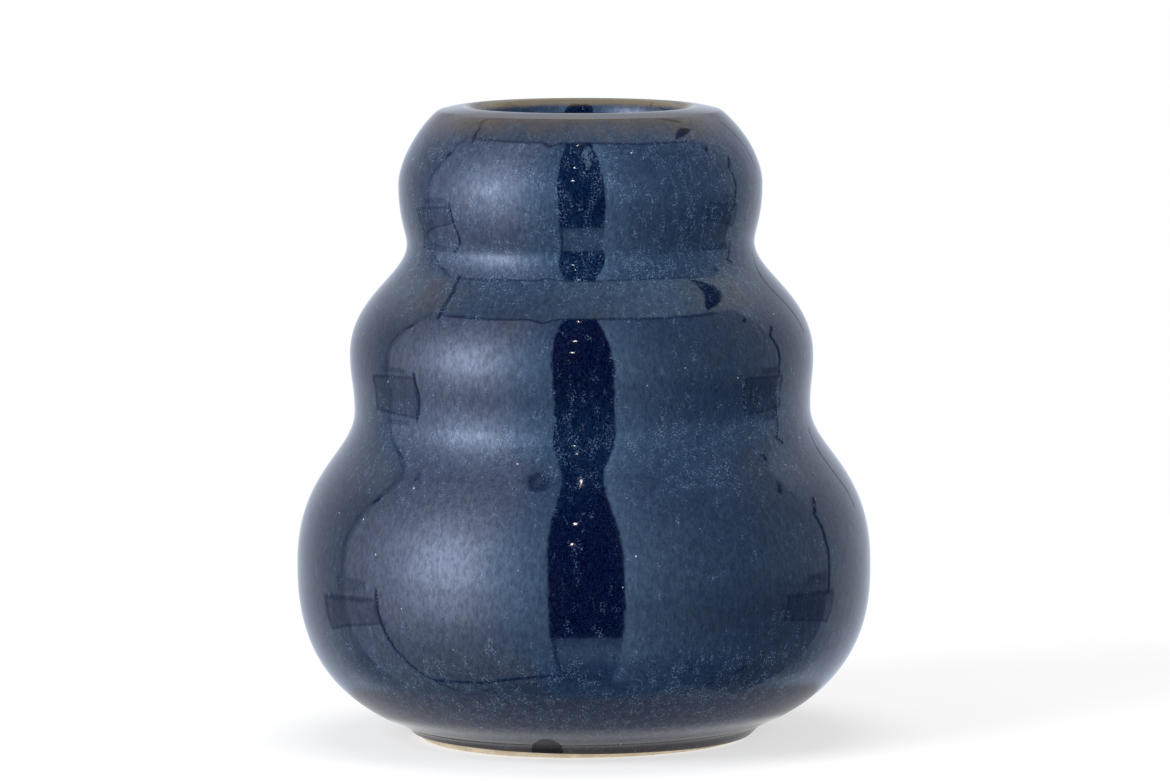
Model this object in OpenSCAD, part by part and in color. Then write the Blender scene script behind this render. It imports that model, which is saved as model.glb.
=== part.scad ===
// Earthenware vase of three stacked bulbs with a glossy glaze.
// The origin is at the middle of the foot, on the table, and +Z is up.
// Every radius and rise below is that of the fired clay. The glaze lies on top of it.

/* [Foot] */
// Radius of the foot at the table
foot_r = 46.2; // [43.5:0.1:48.5]
// Radius at the top of the foot's sloping flank
foot_top_r = 52.3; // [50.5:0.1:56]
// Height of the foot's sloping flank
foot_h = 4.9; // [3.5:0.1:7]
// Width of the ring that stands on the table
foot_ring_w = 6; // [4:0.5:9]
// Length of the rounding along each side of the ring's edges
foot_edge = 0.8; // [0.4:0.1:1.2]
// Depth of the hollow under the base
recess_depth = 3; // [2:0.25:4]
// Height of the bare clay below the glaze
bare_strip_h = 1.2; // [0.9:0.1:2]

/* [Lower bulb] */
// Radius at the widest level
lower_bulb_r = 81.15; // [74:0.05:88]
// Rise from the top of the foot's flank to the widest level
lower_bulb_low_h = 45.2; // [38:0.1:52]
// Rise from the widest level to the lower waist
lower_bulb_high_h = 43.7; // [37:0.1:50]
// Angle above level at which the bulb leaves the foot
foot_angle = 21.5; // [10:0.5:35]

/* [Lower waist and middle bulb] */
// Radius of the waist between the lower and the middle bulb
lower_waist_r = 64.35; // [58:0.05:68]
// Radius at the widest level of the middle bulb
middle_bulb_r = 65.4; // [60:0.05:72]
// Rise from the lower waist to the widest level
middle_bulb_low_h = 15.4; // [11:0.1:22]
// Rise from the widest level to the upper waist
middle_bulb_high_h = 31.7; // [26:0.1:38]

/* [Upper waist and upper bulb] */
// Radius of the waist between the middle and the upper bulb
upper_waist_r = 48.95; // [45:0.05:52]
// Radius at the widest level of the upper bulb
upper_bulb_r = 51.25; // [48:0.05:56]
// Rise from the upper waist to the widest level
upper_bulb_low_h = 16.6; // [12:0.1:22]
// Rise from the widest level to the shoulder
upper_bulb_high_h = 20.9; // [17:0.1:26]

/* [Mouth] */
// Radius at which the shoulder passes into the lip
shoulder_r = 39.55; // [38:0.05:43]
// Angle above level of the shoulder there, towards the mouth
shoulder_angle = 16.2; // [10:0.1:22]
// Rise from the shoulder to the crest of the lip
lip_rise = 1.3; // [0.9:0.1:3]
// Radius of the lip's crest
lip_crest_r = 33.45; // [32.5:0.05:35.5]
// Radius of the throat, the narrowest level of the mouth
throat_r = 30.2; // [26:0.05:31.5]
// Drop from the crest to the throat
throat_drop = 4; // [3:0.1:5]

/* [Walls] */
// Thickness of the clay wall
wall = 5; // [3.5:0.25:6]
// Thickness of the clay floor at its middle
floor_t = 6; // [4:0.25:9]

/* [Glaze] */
// Thickness of the coat outside
outer_glaze_t = 0.5; // [0.3:0.05:0.8]
// Thickness of the coat on the crest of the lip
lip_glaze_t = 0.3; // [0.15:0.05:0.5]
// Thickness of the coat inside
inner_glaze_t = 0.5; // [0.3:0.05:0.8]
// Thickness of the coat in the hollow under the base
base_glaze_t = 0.4; // [0.2:0.05:0.6]

/* [Hidden] */
$fn = 180;
// Straight steps along a long curve and along a short one
long_steps = 12;
short_steps = 6;

// Handle lengths of the curves as shares of the rise that each curve climbs: at its low end, then at
// its high end
lower_bulb_low_shares = [0.7, 0.207];
lower_bulb_high_shares = [0.6, 0.287];
middle_bulb_low_shares = [0.48, 0.445];
middle_bulb_high_shares = [0.517, 0.294];
upper_bulb_low_shares = [0.2, 0.585];
upper_bulb_high_shares = [0.427, 0.119];
inner_shoulder_shares = [0.95, 0.15];
// Handle lengths as shares of the straight line between a curve's ends
flank_shares = [0.6, 0.12];
lip_outer_shares = [0.494, 0.067];
floor_shares = [0.5, 0.1];
recess_shares = [0.3, 0.5];
// Handle lengths that make a quarter ellipse, as shares of its two half axes
ellipse_share = 0.5523;
// Handle lengths that round a corner, as a share of its two sides
corner_share = 0.667;
// Slope of the hollow's side: how far it leans in, as a share of its depth
recess_lean_share = 0.6;
// Part of the hollow's ceiling that curves down to its side
recess_curve_share = 0.12;

// Levels
lower_bulb_z = foot_h + lower_bulb_low_h;
lower_waist_z = lower_bulb_z + lower_bulb_high_h;
middle_bulb_z = lower_waist_z + middle_bulb_low_h;
upper_waist_z = middle_bulb_z + middle_bulb_high_h;
upper_bulb_z = upper_waist_z + upper_bulb_low_h;
shoulder_z = upper_bulb_z + upper_bulb_high_h;
crest_z = shoulder_z + lip_rise;
throat_z = crest_z - throat_drop;
floor_z = recess_depth + floor_t;

up = [0, 1];
out = [1, 0];
bulb_start = [cos(foot_angle), sin(foot_angle)];
shoulder_run = [-cos(shoulder_angle), sin(shoulder_angle)];

// Places on the outside of the clay, as [radius, height]
foot_edge_point = [foot_r, 0];
foot_top = [foot_top_r, foot_h];
lower_bulb = [lower_bulb_r, lower_bulb_z];
lower_waist = [lower_waist_r, lower_waist_z];
middle_bulb = [middle_bulb_r, middle_bulb_z];
upper_waist = [upper_waist_r, upper_waist_z];
upper_bulb = [upper_bulb_r, upper_bulb_z];
shoulder = [shoulder_r, shoulder_z];
crest = [lip_crest_r, crest_z];
throat = [throat_r, throat_z];
inner_upper_bulb = upper_bulb - wall * out;

// The flank rises straight to the glaze line, and curves softly into the bulb above it
flank_run = (foot_top - foot_edge_point) / norm(foot_top - foot_edge_point);
glaze_line = foot_edge_point + flank_run * bare_strip_h / flank_run[1];
edge_end = foot_edge_point + flank_run * foot_edge;

// The ring and the hollow under the base
ring_in_r = foot_r - foot_ring_w;
ring_in_point = [ring_in_r, 0];
recess_corner = [ring_in_r - recess_depth * recess_lean_share, recess_depth];
recess_run = (ring_in_point - recess_corner) / norm(ring_in_point - recess_corner);
recess_bare = ring_in_point + recess_run * bare_strip_h / recess_run[1];
recess_bend = recess_corner - out * recess_curve_share * recess_corner[0];

// A cubic curve is a list of four points: its ends and the two handles between them
function curve_point(c, t) =
    pow(1 - t, 3) * c[0] + 3 * t * pow(1 - t, 2) * c[1] + 3 * t * t * (1 - t) * c[2] + pow(t, 3) * c[3];

// The direction square to the curve, to the right of its travel
function curve_side(c, t) =
    let (run = pow(1 - t, 2) * (c[1] - c[0]) + 2 * t * (1 - t) * (c[2] - c[1]) + t * t * (c[3] - c[2]))
    [run[1], -run[0]] / norm(run);

// A curve between two places, with a handle's length and direction at each
function curve(a, a_handle, b, b_handle) = [a, a + a_handle, b - b_handle, b];
// A curve that leaves and reaches its ends straight up, with handles that are shares of its rise
function bulge(a, b, shares) =
    let (rise = b[1] - a[1])
    curve(a, up * rise * shares[0], b, up * rise * shares[1]);
function straight(a, b) = curve(a, (b - a) / 3, b, (b - a) / 3);
function rounded(a, corner, b) = [a, a + (corner - a) * corner_share, b + (corner - b) * corner_share, b];
function reversed(list) = [for (i = [len(list) - 1:-1:0]) list[i]];

// The outside, from the glaze line up
flank = curve(
    glaze_line, flank_run * flank_shares[0] * norm(foot_top - glaze_line),
    foot_top, bulb_start * flank_shares[1] * norm(foot_top - glaze_line)
);
lower_bulb_low = curve(
    foot_top, bulb_start * lower_bulb_low_h * lower_bulb_low_shares[0],
    lower_bulb, up * lower_bulb_low_h * lower_bulb_low_shares[1]
);
lower_bulb_high = bulge(lower_bulb, lower_waist, lower_bulb_high_shares);
middle_bulb_low = bulge(lower_waist, middle_bulb, middle_bulb_low_shares);
middle_bulb_high = bulge(middle_bulb, upper_waist, middle_bulb_high_shares);
upper_bulb_low = bulge(upper_waist, upper_bulb, upper_bulb_low_shares);
upper_bulb_high = curve(
    upper_bulb, up * upper_bulb_high_h * upper_bulb_high_shares[0],
    shoulder, shoulder_run * upper_bulb_high_h * upper_bulb_high_shares[1]
);

// The lip, over its crest and down to the throat
lip_outer = curve(
    shoulder, shoulder_run * norm(crest - shoulder) * lip_outer_shares[0],
    crest, -out * norm(crest - shoulder) * lip_outer_shares[1]
);
lip_inner = curve(
    crest, -out * (lip_crest_r - throat_r) * ellipse_share,
    throat, -up * throat_drop * ellipse_share
);

// Inside, down from the throat. Below the upper bulb the wall has one thickness
inner_shoulder = reversed(curve(
    inner_upper_bulb, up * (throat_z - upper_bulb_z) * inner_shoulder_shares[0],
    throat, up * (throat_z - upper_bulb_z) * inner_shoulder_shares[1]
));

// Points along a curve, moved out of the clay by a thickness that may change from end to end
function trace(c, steps, from_t = 0, to_t = 0) = [
    for (i = [0:steps])
        let (share = i / steps, ease = share * share * (3 - 2 * share))
        curve_point(c, share) + curve_side(c, share) * (from_t + (to_t - from_t) * ease)
];
function join(lists) = [for (list = lists) each list];

outer_curves = [
    lower_bulb_low, lower_bulb_high, middle_bulb_low, middle_bulb_high, upper_bulb_low
];
function outer_trace(t) = join([
    trace(flank, short_steps, t, t),
    for (c = outer_curves) trace(c, long_steps, t, t),
    trace(upper_bulb_high, long_steps, t, t)
]);
function lip_trace(outer_t, crest_t, inner_t) = join([
    trace(lip_outer, short_steps, outer_t, crest_t),
    trace(lip_inner, short_steps, crest_t, inner_t)
]);
// The inside of the wall lies one wall thickness back from the outside. Its foot is where the floor
// starts
wall_foot = foot_top - curve_side(lower_bulb_low, 0) * wall;
inner_floor = curve(
    wall_foot, -bulb_start * norm(wall_foot) * floor_shares[1],
    [0, floor_z], -out * norm(wall_foot) * floor_shares[0]
);
function inner_trace(t) = join([
    trace(inner_shoulder, long_steps, t, t),
    reversed(join([for (c = outer_curves) trace(c, long_steps, -wall - t, -wall - t)])),
    trace(inner_floor, short_steps, t, t)
]);

recess_ceiling = straight([0, recess_depth], recess_bend);
recess_curve = curve(
    recess_bend, out * norm(recess_bare - recess_bend) * recess_shares[1],
    recess_bare, recess_run * norm(recess_bare - recess_bend) * recess_shares[0]
);
function recess_trace(t) = join([
    trace(recess_ceiling, 1, t, t),
    trace(recess_curve, short_steps, t, t)
]);
// Around the bare ring, from the hollow's side to the glaze line
ring_trace = join([
    trace(rounded(ring_in_point + recess_run * -foot_edge, ring_in_point, ring_in_point + out * foot_edge),
        short_steps),
    trace(rounded(foot_edge_point - out * foot_edge, foot_edge_point, edge_end), short_steps)
]);

// Points that repeat the one before them are left out
function distinct(points) = [
    for (i = [0:len(points) - 1])
        if (i == 0 || norm(points[i] - points[max(i - 1, 0)]) > foot_edge / 1000) points[i]
];

module turned(points) {
    rotate_extrude()
        polygon(distinct(points));
}

// A coat fills the space between the clay and the same outline moved outwards
module coat(clay_side, free_side) {
    turned(concat(clay_side, reversed(free_side)));
}

module clay_body() {
    color([0.75, 0.69, 0.59])
        turned(join([
            recess_trace(0), ring_trace, outer_trace(0), lip_trace(0, 0, 0), inner_trace(0)
        ]));
}

module outer_glaze() {
    color([0.11, 0.17, 0.29])
        coat(outer_trace(0), outer_trace(outer_glaze_t));
}

module lip_glaze() {
    color([0.4, 0.34, 0.29])
        coat(lip_trace(0, 0, 0), lip_trace(outer_glaze_t, lip_glaze_t, inner_glaze_t));
}

module inner_glaze() {
    color([0.1, 0.15, 0.26])
        coat(inner_trace(0), inner_trace(inner_glaze_t));
}

module base_glaze() {
    color([0.13, 0.18, 0.28])
        coat(recess_trace(0), recess_trace(base_glaze_t));
}

clay_body();
outer_glaze();
lip_glaze();
inner_glaze();
base_glaze();
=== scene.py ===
import math

import bmesh
import bpy
from mathutils import Euler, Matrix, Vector


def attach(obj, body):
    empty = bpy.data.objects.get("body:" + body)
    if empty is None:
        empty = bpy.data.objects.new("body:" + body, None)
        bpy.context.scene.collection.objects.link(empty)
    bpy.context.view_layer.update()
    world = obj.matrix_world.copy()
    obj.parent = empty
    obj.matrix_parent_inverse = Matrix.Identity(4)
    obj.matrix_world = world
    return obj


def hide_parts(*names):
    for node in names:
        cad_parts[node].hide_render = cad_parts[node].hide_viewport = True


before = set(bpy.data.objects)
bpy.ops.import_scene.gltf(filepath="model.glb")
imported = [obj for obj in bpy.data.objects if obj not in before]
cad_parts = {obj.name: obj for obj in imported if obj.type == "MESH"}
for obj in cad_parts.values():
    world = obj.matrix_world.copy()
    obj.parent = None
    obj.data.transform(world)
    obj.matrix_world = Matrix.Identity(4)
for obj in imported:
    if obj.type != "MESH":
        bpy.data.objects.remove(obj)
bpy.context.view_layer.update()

# Earthenware vase of three stacked bulbs. Lengths are in metres and angles in degrees, unless a name
# says otherwise. The origin is at the middle of the foot, on the table, and +Z is up.

# The fired clay's outline, as the solids have it
FOOT_R = 0.0462
FOOT_TOP_R = 0.0523
FOOT_H = 0.0049
FOOT_RING_W = 0.006
FOOT_EDGE = 0.0008
RECESS_DEPTH = 0.003
BARE_STRIP_H = 0.0012
LOWER_BULB_R = 0.08115
LOWER_BULB_LOW_H = 0.0452
LOWER_BULB_HIGH_H = 0.0437
FOOT_ANGLE = 21.5
LOWER_WAIST_R = 0.06435
MIDDLE_BULB_R = 0.0654
MIDDLE_BULB_LOW_H = 0.0154
MIDDLE_BULB_HIGH_H = 0.0317
UPPER_WAIST_R = 0.04895
UPPER_BULB_R = 0.05125
UPPER_BULB_LOW_H = 0.0166
UPPER_BULB_HIGH_H = 0.0209
SHOULDER_R = 0.03955
SHOULDER_ANGLE = 16.2
LIP_RISE = 0.0013
LIP_CREST_R = 0.03345
THROAT_R = 0.0302
THROAT_DROP = 0.004
WALL = 0.005
FLOOR_T = 0.006
OUTER_GLAZE_T = 0.0005
LIP_GLAZE_T = 0.0003
INNER_GLAZE_T = 0.0005
BASE_GLAZE_T = 0.0004

# Handle lengths of its curves, as shares of the rise or of the straight line between their ends. The
# flank's differ from those of the solids, so that it is a little hollower.
LOWER_BULB_LOW_SHARES = (0.7, 0.207)
LOWER_BULB_HIGH_SHARES = (0.6, 0.287)
MIDDLE_BULB_LOW_SHARES = (0.48, 0.445)
MIDDLE_BULB_HIGH_SHARES = (0.517, 0.294)
UPPER_BULB_LOW_SHARES = (0.2, 0.585)
UPPER_BULB_HIGH_SHARES = (0.427, 0.119)
INNER_SHOULDER_SHARES = (0.95, 0.15)
FLANK_SHARES = (0.4, 0.5)
LIP_OUTER_SHARES = (0.494, 0.067)
FLOOR_SHARES = (0.5, 0.1)
RECESS_SHARES = (0.3, 0.5)
ELLIPSE_SHARE = 0.5523
CORNER_SHARE = 0.667
RECESS_LEAN_SHARE = 0.6
RECESS_CURVE_SHARE = 0.12

# Levels
LOWER_BULB_Z = FOOT_H + LOWER_BULB_LOW_H
LOWER_WAIST_Z = LOWER_BULB_Z + LOWER_BULB_HIGH_H
MIDDLE_BULB_Z = LOWER_WAIST_Z + MIDDLE_BULB_LOW_H
UPPER_WAIST_Z = MIDDLE_BULB_Z + MIDDLE_BULB_HIGH_H
UPPER_BULB_Z = UPPER_WAIST_Z + UPPER_BULB_LOW_H
SHOULDER_Z = UPPER_BULB_Z + UPPER_BULB_HIGH_H
CREST_Z = SHOULDER_Z + LIP_RISE
THROAT_Z = CREST_Z - THROAT_DROP
FLOOR_Z = RECESS_DEPTH + FLOOR_T

# How finely the pieces are turned
OUTER_SEGMENTS = 360
INNER_SEGMENTS = 240
FINE_STEP = 0.0006
COARSE_STEP = 0.003
FOOT_EDGE_STEP = FOOT_EDGE / 6
SAME_PLACE = 1e-6
ON_AXIS = 1e-7

# Small departures from a true turned shape. A ripple is a share of the wobble, how many times it goes
# round, where it starts, and how much it twists with height, the last two in radians.
WOBBLE = 0.00007
WOBBLE_INSET = 0.00008
WOBBLE_FROM_Z = 0.01
RIPPLES = ((0.5, 2, 1.1, 21), (0.3, 3, 0.4, -33), (0.2, 5, 2.2, 47))
FOOT_SWAY = 0.00023
FOOT_SWAY_LOW = 0.015
FOOT_SWAY_HIGH = 0.035
MIDDLE_SWAY = 0.00033
MIDDLE_SWAY_Z = 0.124
MIDDLE_SWAY_H = 0.016
RIM_SLOPE = 0.00784
RIM_SLOPE_LOW = 0.168
RIM_SLOPE_HIGH = 0.178

# The glaze's lower edge: its height, which side is highest, its waves as the ripples above without a
# twist, and the bead along it
LINE_MEAN_H = 0.0015
LINE_TILT = 0.00085
LINE_HIGH_AT = 196
LINE_WAVER = 0.00004
LINE_WAVES = ((1, 5, 0.7), (0.7, 11, 2.0))
SLIDE_REACH = 0.004
BEAD_R = 0.0005
BEAD_STEPS = 6

# Camera
FOCAL_LENGTH_MM = 234
CAMERA_DISTANCE = 2.162
CAMERA_PITCH = 5.908
CAMERA_ROLL = -0.56
CAMERA_TARGET = Vector((0.000755, 0, 0.09856))
CLIP_END = 50


# Outline

def polar(angle):
    return Vector((math.cos(math.radians(angle)), math.sin(math.radians(angle))))


UP = Vector((0, 1))
OUT = Vector((1, 0))
BULB_START = polar(FOOT_ANGLE)
SHOULDER_RUN = polar(180 - SHOULDER_ANGLE)


def curve(a, a_handle, b, b_handle):
    """A cubic curve between two places, with a handle's length and direction at each."""
    return (a, a + a_handle, b - b_handle, b)


def bulge(a, b, shares):
    rise = b.y - a.y
    return curve(a, UP * rise * shares[0], b, UP * rise * shares[1])


def straight(a, b):
    return curve(a, (b - a) / 3, b, (b - a) / 3)


def rounded(a, corner, b):
    return (a, a + (corner - a) * CORNER_SHARE, b + (corner - b) * CORNER_SHARE, b)


def reverse(c):
    return tuple(reversed(c))


def point_on(c, t):
    s = 1 - t
    return c[0] * s ** 3 + c[1] * 3 * t * s * s + c[2] * 3 * t * t * s + c[3] * t ** 3


def side_of(c, t):
    """The direction square to the curve, to the right of its travel."""
    s = 1 - t
    run = (c[1] - c[0]) * s * s + (c[2] - c[1]) * 2 * t * s + (c[3] - c[2]) * t * t
    return Vector((run.y, -run.x)).normalized()


def ease(t):
    return t * t * (3 - 2 * t)


def trace(c, step, from_t=0, to_t=0):
    """Points along a curve, moved out of the clay by a thickness that may change from end to end."""
    length = sum((c[i + 1] - c[i]).length for i in range(3))
    count = max(2, round(length / step))
    points = []
    for i in range(count + 1):
        t = i / count
        points.append(point_on(c, t) + side_of(c, t) * (from_t + (to_t - from_t) * ease(t)))
    return points


def join(*lists):
    """One list of points, without those that repeat the one before them."""
    joined = []
    for points in lists:
        for p in points:
            if not joined or (p - joined[-1]).length > SAME_PLACE:
                joined.append(p)
    return joined


foot_edge_point = Vector((FOOT_R, 0))
foot_top = Vector((FOOT_TOP_R, FOOT_H))
lower_bulb = Vector((LOWER_BULB_R, LOWER_BULB_Z))
lower_waist = Vector((LOWER_WAIST_R, LOWER_WAIST_Z))
middle_bulb = Vector((MIDDLE_BULB_R, MIDDLE_BULB_Z))
upper_waist = Vector((UPPER_WAIST_R, UPPER_WAIST_Z))
upper_bulb = Vector((UPPER_BULB_R, UPPER_BULB_Z))
shoulder = Vector((SHOULDER_R, SHOULDER_Z))
crest = Vector((LIP_CREST_R, CREST_Z))
throat = Vector((THROAT_R, THROAT_Z))

flank_run = (foot_top - foot_edge_point).normalized()
glaze_line = foot_edge_point + flank_run * BARE_STRIP_H / flank_run.y
edge_end = foot_edge_point + flank_run * FOOT_EDGE
flank_length = (foot_top - glaze_line).length

flank = curve(
    glaze_line, flank_run * FLANK_SHARES[0] * flank_length,
    foot_top, BULB_START * FLANK_SHARES[1] * flank_length)
lower_bulb_low = curve(
    foot_top, BULB_START * LOWER_BULB_LOW_H * LOWER_BULB_LOW_SHARES[0],
    lower_bulb, UP * LOWER_BULB_LOW_H * LOWER_BULB_LOW_SHARES[1])
lower_bulb_high = bulge(lower_bulb, lower_waist, LOWER_BULB_HIGH_SHARES)
middle_bulb_low = bulge(lower_waist, middle_bulb, MIDDLE_BULB_LOW_SHARES)
middle_bulb_high = bulge(middle_bulb, upper_waist, MIDDLE_BULB_HIGH_SHARES)
upper_bulb_low = bulge(upper_waist, upper_bulb, UPPER_BULB_LOW_SHARES)
upper_bulb_high = curve(
    upper_bulb, UP * UPPER_BULB_HIGH_H * UPPER_BULB_HIGH_SHARES[0],
    shoulder, SHOULDER_RUN * UPPER_BULB_HIGH_H * UPPER_BULB_HIGH_SHARES[1])
lip_length = (crest - shoulder).length
lip_outer = curve(
    shoulder, SHOULDER_RUN * lip_length * LIP_OUTER_SHARES[0],
    crest, -OUT * lip_length * LIP_OUTER_SHARES[1])
lip_inner = curve(
    crest, -OUT * (LIP_CREST_R - THROAT_R) * ELLIPSE_SHARE,
    throat, -UP * THROAT_DROP * ELLIPSE_SHARE)
inner_shoulder = reverse(curve(
    upper_bulb - WALL * OUT, UP * (THROAT_Z - UPPER_BULB_Z) * INNER_SHOULDER_SHARES[0],
    throat, UP * (THROAT_Z - UPPER_BULB_Z) * INNER_SHOULDER_SHARES[1]))
wall_foot = foot_top - side_of(lower_bulb_low, 0) * WALL
inner_floor = curve(
    wall_foot, -BULB_START * wall_foot.length * FLOOR_SHARES[1],
    Vector((0, FLOOR_Z)), -OUT * wall_foot.length * FLOOR_SHARES[0])

ring_in_point = Vector((FOOT_R - FOOT_RING_W, 0))
recess_corner = ring_in_point + Vector((-RECESS_DEPTH * RECESS_LEAN_SHARE, RECESS_DEPTH))
recess_run = (ring_in_point - recess_corner).normalized()
recess_bare = ring_in_point + recess_run * BARE_STRIP_H / recess_run.y
recess_bend = recess_corner - OUT * RECESS_CURVE_SHARE * recess_corner.x
recess_ceiling = straight(Vector((0, RECESS_DEPTH)), recess_bend)
recess_length = (recess_bare - recess_bend).length
recess_curve = curve(
    recess_bend, OUT * recess_length * RECESS_SHARES[1],
    recess_bare, recess_run * recess_length * RECESS_SHARES[0])
ring_inner_edge = rounded(
    ring_in_point - recess_run * FOOT_EDGE, ring_in_point, ring_in_point + OUT * FOOT_EDGE)
ring_outer_edge = rounded(foot_edge_point - OUT * FOOT_EDGE, foot_edge_point, edge_end)

WALL_CURVES = (lower_bulb_low, lower_bulb_high, middle_bulb_low, middle_bulb_high, upper_bulb_low)


def wall_trace(step, t):
    return join(*[trace(c, step, t, t) for c in WALL_CURVES])


def outer_trace(step, t):
    return join(trace(flank, step, t, t), wall_trace(step, t), trace(upper_bulb_high, step, t, t))


def lip_trace(step, outer_t, crest_t, inner_t):
    return join(
        trace(lip_outer, step, outer_t, crest_t), trace(lip_inner, step, crest_t, inner_t))


def inner_trace(step, t):
    return join(
        trace(inner_shoulder, step, t, t),
        list(reversed(wall_trace(step, -WALL - t))),
        trace(inner_floor, step, t, t))


def recess_trace(step, t):
    return join(trace(recess_ceiling, step, t, t), trace(recess_curve, step, t, t))


# Turned meshes

def soft_step(x, low, high):
    return ease(min(1, max(0, (x - low) / (high - low))))


def ripple(angle, z):
    """How far the wall lies from a true circle there, in metres."""
    return WOBBLE * sum(
        share * math.sin(times * angle + start + twist * z) for share, times, start, twist in RIPPLES)


def sway(z):
    """Where the middle of a level lies along X. The foot and the middle bulb sit a little to the left."""
    at_foot = FOOT_SWAY * (1 - soft_step(z, FOOT_SWAY_LOW, FOOT_SWAY_HIGH))
    at_middle = MIDDLE_SWAY * math.exp(-((z - MIDDLE_SWAY_Z) / MIDDLE_SWAY_H) ** 2)
    return -at_foot - at_middle


def rim_drop(x, z):
    """How much lower the rim lies than a level one. It is highest at its left."""
    return RIM_SLOPE * (x + LIP_CREST_R) * soft_step(z, RIM_SLOPE_LOW, RIM_SLOPE_HIGH)


def turned(name, points, segments, hard_rows=(), shape=None):
    """A closed solid of revolution. A point on the axis closes the solid there."""
    mesh = bpy.data.meshes.new(name)
    bm = bmesh.new()
    rings = []
    for p in points:
        if p.x < ON_AXIS:
            rings.append([bm.verts.new((sway(p.y), 0, p.y))])
            continue
        ring = []
        for i in range(segments):
            angle = 2 * math.pi * i / segments
            q = shape(p, angle) if shape else p
            r = q.x + (ripple(angle, q.y) - WOBBLE_INSET) * min(1, q.y / WOBBLE_FROM_Z)
            x = r * math.cos(angle) + sway(q.y)
            ring.append(bm.verts.new((x, r * math.sin(angle), q.y - rim_drop(x, q.y))))
        rings.append(ring)
    closed = len(rings[0]) > 1 and len(rings[-1]) > 1
    pairs = list(zip(range(len(rings)), range(1, len(rings))))
    if closed:
        pairs.append((len(rings) - 1, 0))
    for low, high in pairs:
        a = rings[low]
        b = rings[high]
        for i in range(segments):
            j = (i + 1) % segments
            corners = [a[i % len(a)], a[j % len(a)], b[j % len(b)], b[i % len(b)]]
            face = bm.faces.new(list(dict.fromkeys(corners)))
            face.smooth = True
    for row in hard_rows:
        ring = rings[row]
        for i in range(segments):
            bm.edges.get((ring[i], ring[(i + 1) % segments])).smooth = False
    bmesh.ops.recalc_face_normals(bm, faces=bm.faces)
    bm.to_mesh(mesh)
    bm.free()
    piece = bpy.data.objects.new(name, mesh)
    bpy.context.scene.collection.objects.link(piece)
    return piece


def place(piece, node, material):
    piece.data.materials.append(material)
    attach(piece, "root")
    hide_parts(node)


# Node trees, written as arithmetic

class Value:
    """A number or vector that a node tree works out."""

    def __init__(self, net, socket):
        self.net = net
        self.socket = socket

    def maths(self, operation, *others):
        return self.net.maths(operation, self, *others)

    def __add__(self, other):
        return self.maths("ADD", other)

    def __radd__(self, other):
        return self.maths("ADD", other)

    def __sub__(self, other):
        return self.maths("SUBTRACT", other)

    def __rsub__(self, other):
        return self.net.maths("SUBTRACT", other, self)

    def __mul__(self, other):
        return self.maths("MULTIPLY", other)

    def __rmul__(self, other):
        return self.maths("MULTIPLY", other)

    def __truediv__(self, other):
        return self.maths("DIVIDE", other)

    def __rtruediv__(self, other):
        return self.net.maths("DIVIDE", other, self)

    def __neg__(self):
        return self.maths("MULTIPLY", -1)


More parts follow.
